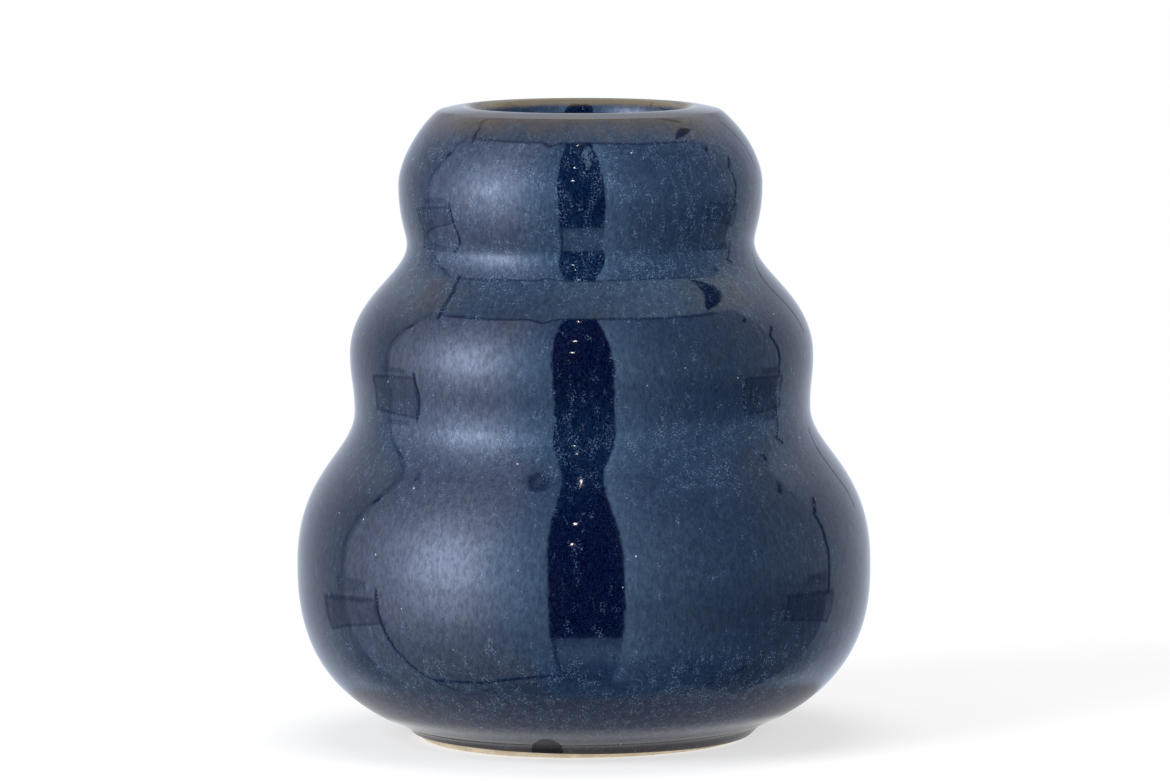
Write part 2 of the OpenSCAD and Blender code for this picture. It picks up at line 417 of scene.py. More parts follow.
class Net:
    """A node tree with short calls for its nodes."""

    def __init__(self, tree):
        self.tree = tree
        tree.nodes.clear()

    def node(self, kind, **settings):
        made = self.tree.nodes.new(kind)
        for key, setting in settings.items():
            setattr(made, key, setting)
        return made

    def feed(self, socket, what):
        if isinstance(what, Value):
            self.tree.links.new(what.socket, socket)
        else:
            socket.default_value = what

    def maths(self, operation, *inputs):
        made = self.node("ShaderNodeMath", operation=operation)
        for socket, what in zip(made.inputs, inputs):
            self.feed(socket, what)
        return Value(self, made.outputs[0])

    def least(self, a, b):
        return self.maths("MINIMUM", a, b)

    def most(self, a, b):
        return self.maths("MAXIMUM", a, b)

    def ramp(self, what, low, high, at_low=0.0, at_high=1.0):
        """Goes softly from at_low to at_high while what goes from low to high."""
        made = self.node("ShaderNodeMapRange", interpolation_type="SMOOTHSTEP")
        for name, setting in (
                ("Value", what), ("From Min", low), ("From Max", high),
                ("To Min", at_low), ("To Max", at_high)):
            self.feed(made.inputs[name], setting)
        return Value(self, made.outputs["Result"])

    def band(self, what, low, high, soft):
        """1 between low and high, with soft edges, and 0 elsewhere."""
        return self.ramp(what, low - soft, low + soft) * self.ramp(what, high - soft, high + soft, 1, 0)

    def hump(self, what, middle, width):
        """1 at the middle, falling away as a bell curve."""
        share = (what - middle) / width
        return self.maths("EXPONENT", -(share * share))

    def mix(self, factor, a, b):
        # Sockets 6, 7 and 2 are this node's two colours and its mixed one
        made = self.node("ShaderNodeMix", data_type="RGBA")
        self.feed(made.inputs["Factor"], factor)
        self.feed(made.inputs[6], a)
        self.feed(made.inputs[7], b)
        return Value(self, made.outputs[2])

    def vectors(self, operation, a, b):
        made = self.node("ShaderNodeVectorMath", operation=operation)
        self.feed(made.inputs[0], a)
        self.feed(made.inputs[1], b)
        return made

    def tint(self, strength, colour):
        """A colour times a number."""
        made = self.node("ShaderNodeVectorMath", operation="SCALE")
        self.feed(made.inputs[0], colour)
        self.feed(made.inputs["Scale"], strength)
        return Value(self, made.outputs[0])

    def plus(self, a, b):
        return Value(self, self.vectors("ADD", a, b).outputs[0])

    def stretch(self, vector, factors):
        return Value(self, self.vectors("MULTIPLY", vector, factors).outputs[0])

    def split(self, vector):
        made = self.node("ShaderNodeSeparateXYZ")
        self.feed(made.inputs[0], vector)
        return [Value(self, socket) for socket in made.outputs]

    def spot(self, vector, middle, radii):
        """Distance from the middle of an ellipsoid, 1 at its surface."""
        off = Value(self, self.vectors("SUBTRACT", vector, middle).outputs[0])
        scaled = Value(self, self.vectors("DIVIDE", off, radii).outputs[0])
        return Value(self, self.vectors("LENGTH", scaled, (0, 0, 0)).outputs["Value"])

    def noise(self, vector, size, detail, roughness, seed):
        """Soft noise from 0 to 1 with features about size metres across."""
        made = self.node("ShaderNodeTexNoise", noise_dimensions="4D")
        self.feed(made.inputs["Vector"], vector)
        made.inputs["W"].default_value = seed
        made.inputs["Scale"].default_value = 1 / size
        made.inputs["Detail"].default_value = detail
        made.inputs["Roughness"].default_value = roughness
        return Value(self, made.outputs["Fac"])

    def cells(self, vector, size):
        """Distance to the middle of the nearest cell, in cells, and a random number for that cell."""
        made = self.node("ShaderNodeTexVoronoi")
        self.feed(made.inputs["Vector"], vector)
        made.inputs["Scale"].default_value = 1 / size
        chance = self.split(Value(self, made.outputs["Color"]))[0]
        return Value(self, made.outputs["Distance"]), chance

    def bump(self, height, distance, normal=None):
        made = self.node("ShaderNodeBump")
        made.inputs["Distance"].default_value = distance
        self.feed(made.inputs["Height"], height)
        if normal is not None:
            self.feed(made.inputs["Normal"], normal)
        return Value(self, made.outputs[0])


def new_material(name):
    material = bpy.data.materials.new(name)
    material.use_nodes = True
    net = Net(material.node_tree)
    shader = net.node("ShaderNodeBsdfPrincipled")
    output = net.node("ShaderNodeOutputMaterial")
    net.tree.links.new(shader.outputs[0], output.inputs["Surface"])
    place_on = net.node("ShaderNodeTexCoord")
    return material, net, shader, Value(net, place_on.outputs["Object"])


# Materials

NAVY_DARK = (0.0003, 0.0011, 0.0125, 1)
NAVY_LIGHT = (0.0016, 0.0054, 0.0290, 1)
TEAL_DARK = (0.0005, 0.0052, 0.0250, 1)
TEAL_LIGHT = (0.0048, 0.0200, 0.0580, 1)
CRYSTAL = (0.068, 0.104, 0.172, 1)
PLUM = (0.008, 0.006, 0.015, 1)
THIN_BROWN = (0.056, 0.036, 0.018, 1)
LIP_BROWN = (0.120, 0.088, 0.045, 1)
EDGE_BROWN = (0.040, 0.024, 0.014, 1)
# Painted dark reflection on a spot of the foot, and the darker lines across it and round its outline
REFLECTION_SPOT_DARK = (0.013, 0.010, 0.017, 1)
REFLECTION_SPOT_LINES = (0.004, 0.003, 0.007, 1)
PIN_WHITE = (0.62, 0.70, 0.82, 1)
CLAY_PALE = (0.800, 0.690, 0.520, 1)
CLAY_DARK = (0.600, 0.480, 0.330, 1)
CLAY_SPECK = (0.220, 0.150, 0.095, 1)

GLAZE_IOR = 1.5
CLAY_IOR = 1.45

# Fine noise seldom leaves this range
NOISE_SPAN = (0.32, 0.68)

# The glaze's grain: its width, and its width as a share of its height
GRAIN = 0.00052
GRAIN_SHARE = 0.44
GRAIN_RELIEF = 0.0000012

# Where the glaze ran thick: heights, and shares of the thickest. A pool lies a little below its waist.
CLOUD_SIZE = 0.011
CLOUD_RISE = 0.02
POOL_DROP = 0.003
LOWER_POOL_H = 0.012
LOWER_POOL_SHARE = 0.75
UPPER_POOL_H = 0.010
UPPER_BULB_FADE_H = 0.008
UPPER_BULB_SHARE = 0.6
UNDERSIDE_FADE = (0.046, 0.018)
UNDERSIDE_SHARE = 0.85

# Plum clouds in the navy
PLUM_SIZE = 0.016
PLUM_SPAN = (0.50, 0.72)
PLUM_SHARE = 0.2

# Pale crystals gather in clusters, more so where the glaze is thick. They thin out towards the lip.
CLUSTER_SIZE = GRAIN * 4
CLUSTER_SPAN = (0.55, 0.75)
CLUSTER_BY_POOL = 0.17
CLUSTER_BY_CLOUD = 0.15
FLECK_SIZE = GRAIN * 0.9
FLECK_SPAN = (0.52, 0.62)
LONE_FLECK_SHARE = 0.06
FLECK_LIP_FADE = (SHOULDER_Z - 0.001, SHOULDER_Z - 0.009)
FLECK_LIP_SHARE = 0.35
FLECK_WALL_SHARE = 0.95

# Crystals as large as a pin's head. Their radius is in cells, of which only a few hold one.
PIN_SPACING = 0.0036
PIN_EDGE = (0.085, 0.05)
PIN_CHANCE = (0.88, 0.98)
PIN_SHARE = 0.65

# Thin glaze is brown: towards the lip and on it, over the foot, and along the glaze line
UNEVEN_SIZE = 0.004
THIN_UNEVEN = 0.008
THIN_FADE = (SHOULDER_Z - 0.008, SHOULDER_Z + 0.0015)
THIN_THROAT_FADE = (THROAT_R + 0.0005, THROAT_R + 0.0022)
THIN_SHARE = 0.72
LIP_UNEVEN = 0.001
LIP_FADE = (CREST_Z - 0.0024, CREST_Z - 0.0012)
LIP_OUTER_FADE = (LIP_CREST_R + 0.0002, LIP_CREST_R - 0.0006)
FOOT_UNEVEN = 0.002
FOOT_FADE = (0.0080, 0.0035)
FOOT_SHARE = 0.45
LINE_UNEVEN = 0.0004
LINE_FADE = (0.0006, 0.0001)

# How rough the glaze is, how far its mirroring varies, and its orange peel
GLAZE_ROUGH = 0.04
MOSAIC_ROUGH = 0.02
PIN_ROUGH = 0.2
MIRROR_SIZE = GRAIN * 1.7
MIRROR_SPREAD = 0.27
PEEL_SIZE = 0.0052
PEEL_DEPTH = 0.00003

# Small places: a dark spot low on the foot, a painted dark reflection of the table near the foot that is
# also made matt and a little hollow, a white crystal beside it, and a patch of crystals
MARK = (-0.0108, -0.048, 0.0013)
MARK_RADII = (0.0045, 0.02, 0.0070)
MARK_DEPTH = 0.00005
MARK_ROUGH = 0.28
MARK_DULL = 0.75
MARK_RAGGED = 0.10
MARK_SIDE = (1.03, 0.95)
MARK_OUTLINE = (0.84, 0.95)
RIDGE_TURNS = 42
RIDGE_BENDS = 8
RIDGE_SPAN = (0.0, 0.9)
RIDGE_SHARE = 0.6
PIN = (0.00966, -0.0514, 0.005)
PIN_RADII = (0.0004, 0.002, 0.0004)
PIN_SIDE = (1.2, 0.7)
PATCH = (0.0021, -0.048, 0.1685)
PATCH_RADII = (0.0017, 0.006, 0.0032)
PATCH_RAGGED = 1.2
PATCH_SIDE = (1.1, 0.6)
PATCH_SPAN = (0.36, 0.60)
PATCH_SHARE = 0.8


class Grain:
    """The patterns that several of the glaze's features share."""

    def __init__(self, net, where):
        self.upright = net.stretch(where, (1, 1, GRAIN_SHARE))
        self.cloud = net.noise(where, CLOUD_SIZE, 3, 0.55, seed=1.0) - 0.5
        self.fine = net.noise(self.upright, GRAIN, 2, 0.5, seed=2.0)
        self.broad = net.noise(self.upright, CLUSTER_SIZE, 2, 0.6, seed=3.0)
        self.uneven = net.noise(self.upright, UNEVEN_SIZE, 3, 0.6, seed=5.0) - 0.5
        self.mosaic = net.ramp(self.fine, *NOISE_SPAN)


def glaze_thickness(net, z, grain):
    """How thick the glaze ran, from 0 to 1."""
    level = z + grain.cloud * CLOUD_RISE
    lower = net.hump(level, LOWER_WAIST_Z - POOL_DROP, LOWER_POOL_H) * LOWER_POOL_SHARE
    upper = net.hump(level, UPPER_WAIST_Z - POOL_DROP, UPPER_POOL_H)
    bulb = net.ramp(level, UPPER_WAIST_Z, UPPER_WAIST_Z + UPPER_BULB_FADE_H) * UPPER_BULB_SHARE
    underside = net.ramp(level, *UNDERSIDE_FADE) * UNDERSIDE_SHARE
    pool = net.most(net.most(net.most(lower, upper), bulb), underside)
    return net.least(net.most(pool + grain.cloud * 0.5, 0), 1)


def mosaic_colour(net, where, z, grain):
    """A fine mosaic of navy, or teal where the glaze is thick, with pale crystals in clusters."""
    pool = glaze_thickness(net, z, grain)
    navy = net.mix(grain.mosaic, NAVY_DARK, NAVY_LIGHT)
    plum = net.ramp(net.noise(where, PLUM_SIZE, 2, 0.5, seed=4.0), *PLUM_SPAN)
    navy = net.mix(plum * PLUM_SHARE, navy, PLUM)
    teal = net.mix(grain.mosaic, TEAL_DARK, TEAL_LIGHT)
    cluster = net.ramp(
        grain.broad + pool * CLUSTER_BY_POOL + grain.cloud * CLUSTER_BY_CLOUD, *CLUSTER_SPAN)
    dots = net.ramp(net.noise(where, FLECK_SIZE, 2, 0.5, seed=8.0), *FLECK_SPAN)
    flecks = (cluster * (1 - LONE_FLECK_SHARE) + LONE_FLECK_SHARE) * dots
    flecks = flecks * net.ramp(z, *FLECK_LIP_FADE, FLECK_LIP_SHARE, FLECK_WALL_SHARE)
    return net.mix(flecks, net.mix(pool, navy, teal), CRYSTAL)


def with_patch(net, colour, where, grain):
    """The colour, with a patch of crystals high on the front."""
    patch = net.spot(where, PATCH, PATCH_RADII) + (grain.broad - 0.5) * PATCH_RAGGED
    share = net.ramp(patch, *PATCH_SIDE) * net.ramp(grain.fine, *PATCH_SPAN)
    return net.mix(share * PATCH_SHARE, colour, CRYSTAL)


def pin_crystals(net, where, outside):
    """1 on each crystal as large as a pin's head."""
    distance, chance = net.cells(where, PIN_SPACING)
    pins = net.ramp(distance, *PIN_EDGE) * net.ramp(chance, *PIN_CHANCE)
    if outside:
        pins = net.most(pins, net.ramp(net.spot(where, PIN, PIN_RADII), *PIN_SIDE))
    return pins


def with_brown_lip(net, colour, r, z, uneven):
    """The colour, broken to brown towards the lip, and to a paler brown on the lip's inner side."""
    thin = net.ramp(z + uneven * THIN_UNEVEN, *THIN_FADE) * net.ramp(r, *THIN_THROAT_FADE)
    colour = net.mix(thin * THIN_SHARE, colour, THIN_BROWN)
    lip = net.ramp(z + uneven * LIP_UNEVEN, *LIP_FADE) * net.ramp(r, *LIP_OUTER_FADE)
    return net.mix(lip, colour, LIP_BROWN)


def with_brown_foot(net, colour, x, y, z, r, uneven):
    """The colour, broken to brown over the foot, and darker along the glaze line."""
    foot = net.ramp(z + uneven * FOOT_UNEVEN, *FOOT_FADE)
    colour = net.mix(foot * FOOT_SHARE, colour, THIN_BROWN)
    to_high_side = math.radians(LINE_HIGH_AT)
    toward = (x * math.cos(to_high_side) + y * math.sin(to_high_side)) / r
    over_line = z - LINE_MEAN_H - toward * LINE_TILT
    edge = net.ramp(over_line + uneven * LINE_UNEVEN, *LINE_FADE)
    return net.mix(edge, colour, EDGE_BROWN)


def painted_reflection_spot(net, where, grain):
    """1 on the spot of painted dark reflection on the foot, and 1 on the dark lines across it and round
    its outline.
    """
    mark = net.spot(where, MARK, MARK_RADII) + (grain.broad - 0.5) * MARK_RAGGED
    reflection_spot = net.ramp(mark, *MARK_SIDE)
    wave = net.maths("SINE", mark * RIDGE_TURNS + grain.uneven * RIDGE_BENDS)
    ridges = net.ramp(wave, *RIDGE_SPAN) * RIDGE_SHARE
    return reflection_spot, net.most(net.ramp(mark, *MARK_OUTLINE), ridges)


def glaze_material(name, outside=False):
    """Glossy reactive glaze: a fine mosaic of navy, teal where it pools and brown where it is thin."""
    material, net, shader, where = new_material(name)
    x, y, z = net.split(where)
    r = net.maths("SQRT", x * x + y * y)
    grain = Grain(net, where)
    colour = mosaic_colour(net, where, z, grain)
    if outside:
        colour = with_patch(net, colour, where, grain)
    pins = pin_crystals(net, where, outside)
    colour = net.mix(pins * PIN_SHARE, colour, PIN_WHITE)
    colour = with_brown_lip(net, colour, r, z, grain.uneven)
    rough = GLAZE_ROUGH + grain.mosaic * MOSAIC_ROUGH + pins * PIN_ROUGH
    normal = net.bump(net.noise(where, PEEL_SIZE, 2, 0.5, seed=6.0), PEEL_DEPTH)

    # Some crystals at the surface mirror a little more or less than the glass between them
    mirror = net.ramp(net.noise(grain.upright, MIRROR_SIZE, 3, 0.65, seed=7.0), *NOISE_SPAN)
    specular = 0.5 + (mirror - 0.5) * MIRROR_SPREAD

    if outside:
        colour = with_brown_foot(net, colour, x, y, z, r, grain.uneven)
        # A painted dark reflection on a spot of the foot, which is also matt and a little hollow
        reflection_spot, dark_lines = painted_reflection_spot(net, where, grain)
        colour = net.mix(reflection_spot, colour, net.mix(dark_lines, REFLECTION_SPOT_DARK, REFLECTION_SPOT_LINES))
        rough = rough + reflection_spot * MARK_ROUGH
        specular = specular * (1 - reflection_spot * MARK_DULL)
        normal = net.bump(1 - reflection_spot, MARK_DEPTH, normal)

    shader.inputs["IOR"].default_value = GLAZE_IOR
    net.feed(shader.inputs["Base Color"], colour)
    net.feed(shader.inputs["Specular IOR Level"], specular)
    net.feed(shader.inputs["Roughness"], rough)
    net.feed(shader.inputs["Normal"], net.bump(grain.fine, GRAIN_RELIEF, normal))
    return material


# The bare clay's pattern: soft mottles, sand, and specks in a few cells
MOTTLE_SIZE = 0.006
SAND_SIZE = 0.0007
MOTTLE_SHARE = 0.6
CLAY_SPAN = (0.36, 0.64)
SPECK_SPACING = 0.0016
SPECK_EDGE = (0.22, 0.12)
SPECK_CHANCE = (0.72, 0.76)
SPECK_SHARE = 0.6
CLAY_ROUGH = 0.78
SAND_ROUGH = 0.15
CLAY_RELIEF = 0.00012


def clay_material():
    """Bare fired earthenware, pale tan with sand in it."""
    material, net, shader, where = new_material("bare_clay")
    mottle = net.noise(where, MOTTLE_SIZE, 4, 0.6, seed=1.0)
    sand = net.noise(where, SAND_SIZE, 3, 0.7, seed=2.0)
    shade = net.ramp(mottle * MOTTLE_SHARE + sand * (1 - MOTTLE_SHARE), *CLAY_SPAN)
    colour = net.mix(shade, CLAY_DARK, CLAY_PALE)
    distance, chance = net.cells(where, SPECK_SPACING)
    specks = net.ramp(distance, *SPECK_EDGE) * net.ramp(chance, *SPECK_CHANCE)
    colour = net.mix(specks * SPECK_SHARE, colour, CLAY_SPECK)
    shader.inputs["IOR"].default_value = CLAY_IOR
    net.feed(shader.inputs["Base Color"], colour)
    net.feed(shader.inputs["Roughness"], CLAY_ROUGH + sand * SAND_ROUGH)
    net.feed(shader.inputs["Normal"], net.bump(sand + mottle * 0.5, CLAY_RELIEF))
    return material


# Pieces

def line_height(angle):
    """Height of the glaze's lower edge, which was wiped unevenly."""
    tilt = LINE_TILT * math.cos(angle - math.radians(LINE_HIGH_AT))
    waver = LINE_WAVER * sum(
        share * math.sin(times * angle + start) for share, times, start in LINE_WAVES)
    return LINE_MEAN_H + tilt + waver


def slid(p, angle):
    """Where a point of the coat goes when its lower edge is moved along the flank to the line."""
    along = (p - glaze_line).dot(flank_run)
    share = 1 - soft_step(along, 0, SLIDE_REACH)
    return p + flank_run * ((line_height(angle) - BARE_STRIP_H) / flank_run.y * share)


def bead_trace():
    """The coat's lower edge, which the fire drew into a round bead, from the clay outwards."""
    points = []
    for i in range(1, BEAD_STEPS):
        turn = polar(90 * i / BEAD_STEPS)
        t = BEAD_R * (1 - turn.x) / (3 * FLANK_SHARES[0] * flank_length)
        points.append(point_on(flank, t) + side_of(flank, t) * OUTER_GLAZE_T * turn.y)
    return points


def make_outer_glaze(material):
    above_bead = [
        p for p in outer_trace(FINE_STEP, OUTER_GLAZE_T) if (p - glaze_line).dot(flank_run) > BEAD_R]
    free_side = join(bead_trace(), above_bead)
    clay_side = outer_trace(COARSE_STEP, 0)
    piece = turned(
        "outer_glaze_coat", join(clay_side, list(reversed(free_side))), OUTER_SEGMENTS,
        hard_rows=(0, len(clay_side) - 1, len(clay_side)), shape=slid)
    place(piece, "outer_glaze", material)


def make_lip_glaze(material):
    free_side = lip_trace(FINE_STEP / 2, OUTER_GLAZE_T, LIP_GLAZE_T, INNER_GLAZE_T)
    clay_side = lip_trace(COARSE_STEP / 2, 0, 0, 0)
    piece = turned(
        "lip_glaze_coat", join(clay_side, list(reversed(free_side))), OUTER_SEGMENTS,
        hard_rows=(0, len(clay_side) - 1, len(clay_side), len(clay_side) + len(free_side) - 1))
    place(piece, "lip_glaze", material)


def make_inner_glaze(material):
    free_side = inner_trace(FINE_STEP * 2, INNER_GLAZE_T)
    clay_side = inner_trace(COARSE_STEP, 0)
    piece = turned(
        "inner_glaze_coat", join(list(reversed(clay_side)), free_side), INNER_SEGMENTS,
        hard_rows=(len(clay_side) - 1, len(clay_side)))
    place(piece, "inner_glaze", material)


def make_base_glaze(material):
    free_side = recess_trace(FINE_STEP * 2, BASE_GLAZE_T)
    clay_side = recess_trace(COARSE_STEP, 0)
    piece = turned(
        "base_glaze_coat", join(clay_side, list(reversed(free_side))), INNER_SEGMENTS,
        hard_rows=(len(clay_side) - 1, len(clay_side)))
    place(piece, "base_glaze", material)


def make_clay_body(material):
    points = join(
        recess_trace(FINE_STEP, 0),
        trace(ring_inner_edge, FOOT_EDGE_STEP),
        trace(straight(ring_inner_edge[3], ring_outer_edge[0]), FINE_STEP),
        trace(ring_outer_edge, FOOT_EDGE_STEP),
        outer_trace(COARSE_STEP, 0),
        lip_trace(COARSE_STEP / 2, 0, 0, 0),
        inner_trace(COARSE_STEP, 0))
    piece = turned("clay_body_thrown", points, OUTER_SEGMENTS)
    place(piece, "clay_body", material)


# Studio

WHITE = (1, 1, 1, 1)
AMBIENT = (0.36, 0.36, 0.36, 1)

# The light tent. A direction is an azimuth, 0 towards the camera and positive to its right, and an
# elevation, both in degrees. A light of 1 is white.
TENT_EDGE = 1.2
LEFT_SEAM = -112
RIGHT_SEAM = 115.5

# Its opening towards the camera: a dark slit, whose left side leans outwards, over a lit sill
SLIT_EDGE = 0.7
SLIT_LEFT = -14.4
SLIT_LEAN = 0.04
SLIT_RIGHT = 16
SLIT_LOW = -24.5
SILL_EL = -34
SILL_SPREAD = 11.5
SILL_LIGHT = 0.65
SILL_BASE_LIGHT = 0.25

# Its left wall, lit from behind, with a hot place and a faint glow low down
LEFT_LIGHT = 0.3
HOT_LIGHT = 6.3
HOT_AZIMUTH = -58
HOT_LOW = 4
HOT_HIGH = 10
HOT_SPREAD = 22.5
HOT_SPREAD_UP = 26
HOT_SPREAD_DOWN = 15
LOW_GLOW = 0.16
LOW_GLOW_EL = -38
LOW_GLOW_SPREAD = 12

# Its right wall, which only passes light on: brighter near the slit and dimmer low down
RIGHT_LIGHT = 0.64
RIGHT_BY_SLIT = 1.3
RIGHT_FALL = 22
RIGHT_DIM_AZ = (35, 100)
RIGHT_DIM_EL = (-14, 0)
RIGHT_DIM_NEAR = 0.78
RIGHT_DIM_FAR = 0.52
RIGHT_FOOT_EL = (-48, -32)
RIGHT_FOOT_SHARE = 0.6

# Its back wall, from its sides to its middle: two glows and two dim bands
BACK_AZ = (110, 160)
BACK_SIDE_LIGHT = 0.72
BACK_MIDDLE_LIGHT = 0.80
BEHIND_AZ = (118, 140)
BACK_HIGH_EL = (18, 42)
BACK_HIGH_GLOW = 0.35
BACK_LOW_EL = (-24, -38)
BACK_LOW_GLOW = 0.3
BACK_LOW_DIM = 0.35
BACK_LOW_DIM_EL = -33
BACK_HIGH_DIM = 0.25
BACK_HIGH_DIM_EL = 23
BACK_HIGH_DIM_AZ = (145, 165)
BACK_DIM_SPREAD = 10

# Its ceiling, which comes lower towards the sides and the back, and sags a little left of the slit
CEILING_EL = 68
CEILING_DROP = 25.5
CEILING_DROP_AZ = 110
CEILING_DROP_MOST = 1.35
SAG = 3.5
SAG_AZ = -33
SAG_SPREAD = 8
CEILING_LIGHT = 1.14
CEILING_FRONT_AZ = (-60, 50)
CEILING_FRONT_SHARES = (0.92, 1.12)
CEILING_RIGHT_AZ = (85, 112)
CEILING_RIGHT_SHARES = (1, 0.86)

# The table that it stands on, from its front to its back
TABLE_EL = (-61, -57)
TABLE_AZ = (30, 115)
TABLE_LIGHTS = (0.42, 0.74)

# Colours of its light, and where one goes over into the next
WALL_TINT = (0.63, 1.05, 1.58, 1)
HOT_TINT = (0.84, 1.00, 1.36, 1)
BACK_TINT = (0.92, 1.01, 1.19, 1)
LOW_TINT = (0.82, 0.99, 1.09, 1)
CEILING_TINT = (0.70, 1.03, 1.38, 1)
CEILING_BACK_TINT = (0.93, 1.01, 1.04, 1)
BACK_TINT_AZ = (60, 140)
HOT_TINT_AZ = (-20, -50)
LOW_TINT_EL = (-24, -50)
LOW_TINT_LEFT_AZ = (-20, -35)
LOW_TINT_RIGHT_AZ = (55, 95)
CEILING_BACK_Y = (0, 0.4)

# The small lamps that show in the slit, as directions
TENT_LAMPS = ((-4, 43), (-5, 27), (-2, 66))
TENT_LAMP_LIGHT = 50
TENT_LAMP_EDGE = (0.6, 0.1)
TENT_LAMP_TINT = (1.00, 0.93, 0.85)

# Dark lines in the tent's cloth: from, to, width and depth. A wide line is soft.
SEAMS = (
    ((LEFT_SEAM, -5), (LEFT_SEAM, 40), 2.2, 0.30),
    ((-104, 42.5), (-117, 48), 1.2, 0.80),
    ((-117, 48), (-143, 49.5), 0.9, 0.55),
    ((-143, 49.5), (-163, 57), 3.0, 0.50),
    ((-163, 57), (-181, 67), 4.0, 0.55),
    ((130, 49), (163, 58), 3.0, 0.50),
    ((163, 58), (181, 67), 4.0, 0.55),
    ((RIGHT_SEAM, -9), (RIGHT_SEAM, 17), 1.0, 0.85),
    ((RIGHT_SEAM, 17), (RIGHT_SEAM + 7, 21), 1.0, 0.85),
    ((153, 3), (153, 20), 0.8, 0.50),
    ((-92, -8), (-89, -48), 1.0, 0.85),
    ((-89, -48), (-90, -64), 1.0, 0.70),
    ((-89, -48), (-64, -55), 1.3, 0.85),
    ((-64, -55), (-14, -53), 1.3, 0.85),
    ((-13, -22), (-13, -53), 1.0, 0.70),
    ((79, -65), (84, -50), 1.2, 0.85),
    ((84, -50), (87, -42), 1.0, 0.85),
    ((LEFT_SEAM, 28), (LEFT_SEAM + 1, 31), 1.3, 0.85),
    ((109, 33), (113, 34), 1.0, 0.85))
SEAM_EDGE = (0.5, 1.3)

# The dark line along the ceiling's edge, as far round as it shows
CEILING_LINE_WIDTH = 1.1
CEILING_LINE_AZ = (98, 112)
CEILING_LINE_DEPTH = 0.75

# Two dark plates on the cloth, from and to an azimuth, each with a paler face and a bar above it
PLATES = ((-129, -92), (89, 120))
PLATE_EL = (-17.5, -8.5)
PLATE_DEPTH = 0.55
PLATE_EDGE_AZ = 0.5
PLATE_EDGE_EL = 0.4
FACE_INSET = 1.8
FACE_EL = (-16.7, -9.6)
FACE_PALER = 0.27
BAR_FROM_LOW = 12
BAR_FROM_HIGH = 6
BAR_EL = (-7.6, -5.4)
BAR_EDGE = 0.5
BAR_DEPTH = 0.35

# A hole in the cloth at the right, a long wedge with its tip towards the camera
HOLE_WIDENS_AZ = (94, 114)
HOLE_ENDS_AZ = (119, 126)
HOLE_HALF_H = 2.4
HOLE_EL = 50.3
HOLE_SLOPE = -0.28
HOLE_EDGE = 0.8
HOLE_DEPTH = 0.95


def aside(net, az, span, at_near=0.0, at_far=1.0):
    """Goes softly from at_near to at_far while the azimuth, left or right, goes through the span."""
    return net.ramp(az * az, span[0] ** 2, span[1] ** 2, at_near, at_far)


def left_wall(net, az, el):
    across = (az - HOT_AZIMUTH) / HOT_SPREAD
    above = net.most(el - HOT_HIGH, 0) / HOT_SPREAD_UP
    below = net.least(el - HOT_LOW, 0) / HOT_SPREAD_DOWN
    light = LEFT_LIGHT + HOT_LIGHT / (1 + across * across + above * above + below * below)
    return light + LOW_GLOW * net.hump(el, LOW_GLOW_EL, LOW_GLOW_SPREAD)


def right_wall(net, az, el):
    light = RIGHT_LIGHT + RIGHT_BY_SLIT * net.maths("EXPONENT", (SLIT_RIGHT - az) / RIGHT_FALL)
    dim = net.ramp(az, *RIGHT_DIM_AZ, RIGHT_DIM_NEAR, RIGHT_DIM_FAR)
    light = light * net.ramp(el, *RIGHT_DIM_EL, dim, 1)
    return light * net.ramp(el, *RIGHT_FOOT_EL, RIGHT_FOOT_SHARE, 1)


def back_wall(net, az, el):
    behind = aside(net, az, BEHIND_AZ)
    light = aside(net, az, BACK_AZ, BACK_SIDE_LIGHT, BACK_MIDDLE_LIGHT)
    light = light + BACK_HIGH_GLOW * net.ramp(el, *BACK_HIGH_EL)
    light = light + BACK_LOW_GLOW * net.ramp(el, *BACK_LOW_EL) * behind
    low_dim = BACK_LOW_DIM * net.hump(el, BACK_LOW_DIM_EL, BACK_DIM_SPREAD) * (1 - behind)
    high_dim = BACK_HIGH_DIM * net.hump(el, BACK_HIGH_DIM_EL, BACK_DIM_SPREAD)
    return light * (1 - low_dim) * (1 - high_dim * aside(net, az, BACK_HIGH_DIM_AZ))


def sill_in_slit(net, el):
    sill = SILL_LIGHT * net.hump(el, SILL_EL, SILL_SPREAD) + SILL_BASE_LIGHT
    return net.ramp(el, SLIT_LOW - TENT_EDGE, SLIT_LOW + TENT_EDGE, 1, 0) * sill


def wall_shares(net, az, el):
    """How much of the left wall, the right wall, the back wall and the slit there is in a direction."""
    slit_left = SLIT_LEFT - SLIT_LEAN * net.most(el, 0)
    right_of = net.ramp(az - slit_left, -SLIT_EDGE, SLIT_EDGE)
    past_slit = net.ramp(az, SLIT_RIGHT - SLIT_EDGE, SLIT_RIGHT + SLIT_EDGE)
    on_left = net.ramp(az, LEFT_SEAM - TENT_EDGE, LEFT_SEAM + TENT_EDGE) * (1 - right_of)
    on_right = past_slit * net.ramp(az, RIGHT_SEAM - TENT_EDGE, RIGHT_SEAM + TENT_EDGE, 1, 0)
    in_slit = right_of * (1 - past_slit)
    on_back = 1 - net.least(on_left + on_right + in_slit, 1)
    return on_left, on_right, on_back, in_slit


def ceiling_edge(net, az):
    """The elevation at which the ceiling starts."""
    drop = CEILING_DROP * net.least(az * az / CEILING_DROP_AZ ** 2, CEILING_DROP_MOST)
    return CEILING_EL - drop - SAG * net.hump(az, SAG_AZ, SAG_SPREAD)


def seam(net, az, el, a, b, width):
    """1 along a line in the tent from direction a to direction b, and 0 elsewhere."""
    run = Vector(b) - Vector(a)
    along = ((az - a[0]) * run.x + (el - a[1]) * run.y) / run.length_squared
    along = net.least(net.most(along, 0), 1)
    across_az = az - a[0] - along * run.x
    across_el = el - a[1] - along * run.y
    distance = net.maths("SQRT", across_az * across_az + across_el * across_el)
    return net.ramp(distance, width * SEAM_EDGE[0], width * SEAM_EDGE[1], 1, 0)


